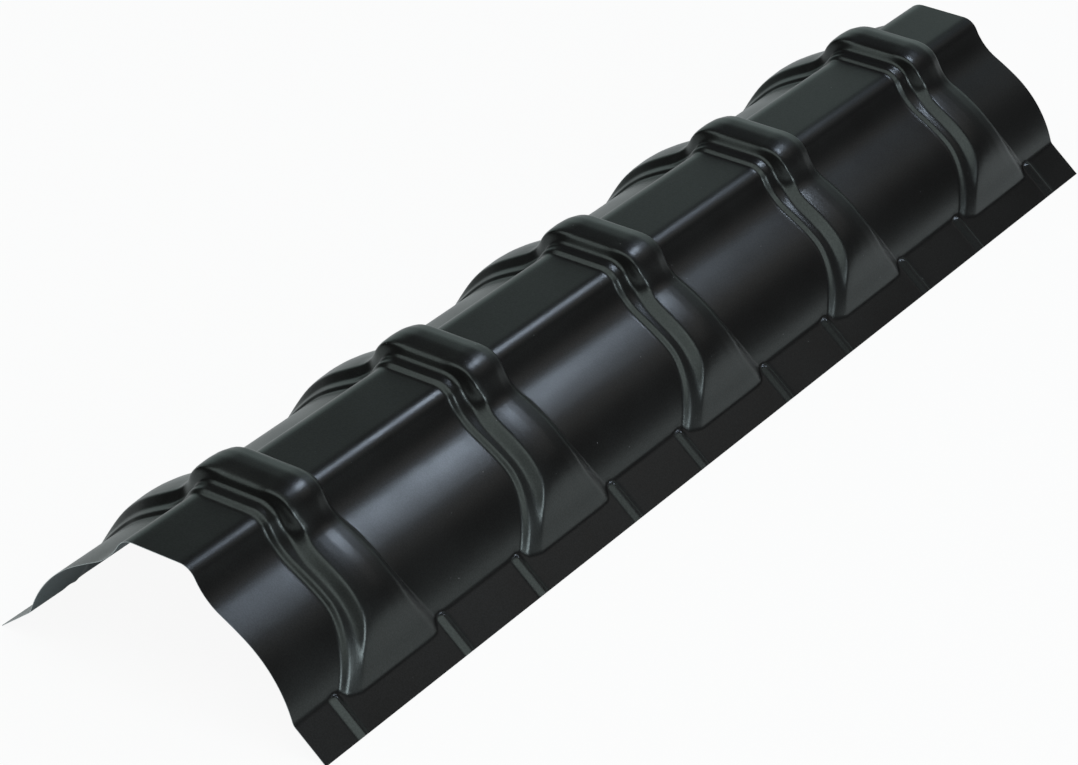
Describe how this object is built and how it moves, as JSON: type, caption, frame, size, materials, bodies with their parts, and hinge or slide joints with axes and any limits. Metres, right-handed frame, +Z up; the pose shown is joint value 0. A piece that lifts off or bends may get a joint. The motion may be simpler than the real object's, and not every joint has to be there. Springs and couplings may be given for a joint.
{
  "type": "roof ridge cap",
  "caption": "Stepped roof ridge cap pressed from dark painted steel sheet, with raised collars over the ridge, a hollow underside and beaded side flanges that lie on the roof slopes.",
  "frame": {"origin": "on the floor under the middle of the cap", "axes": "+Z up, Y along the ridge with the stepped fronts of the collars facing -Y, X across the ridge"},
  "size_m": [0.32, 1.2, 0.1438],
  "materials": {
    "painted_sheet": "satin black"
  },
  "bodies": {
    "root": {"ridge_cap": "painted_sheet"}
  },
  "joints": []
}
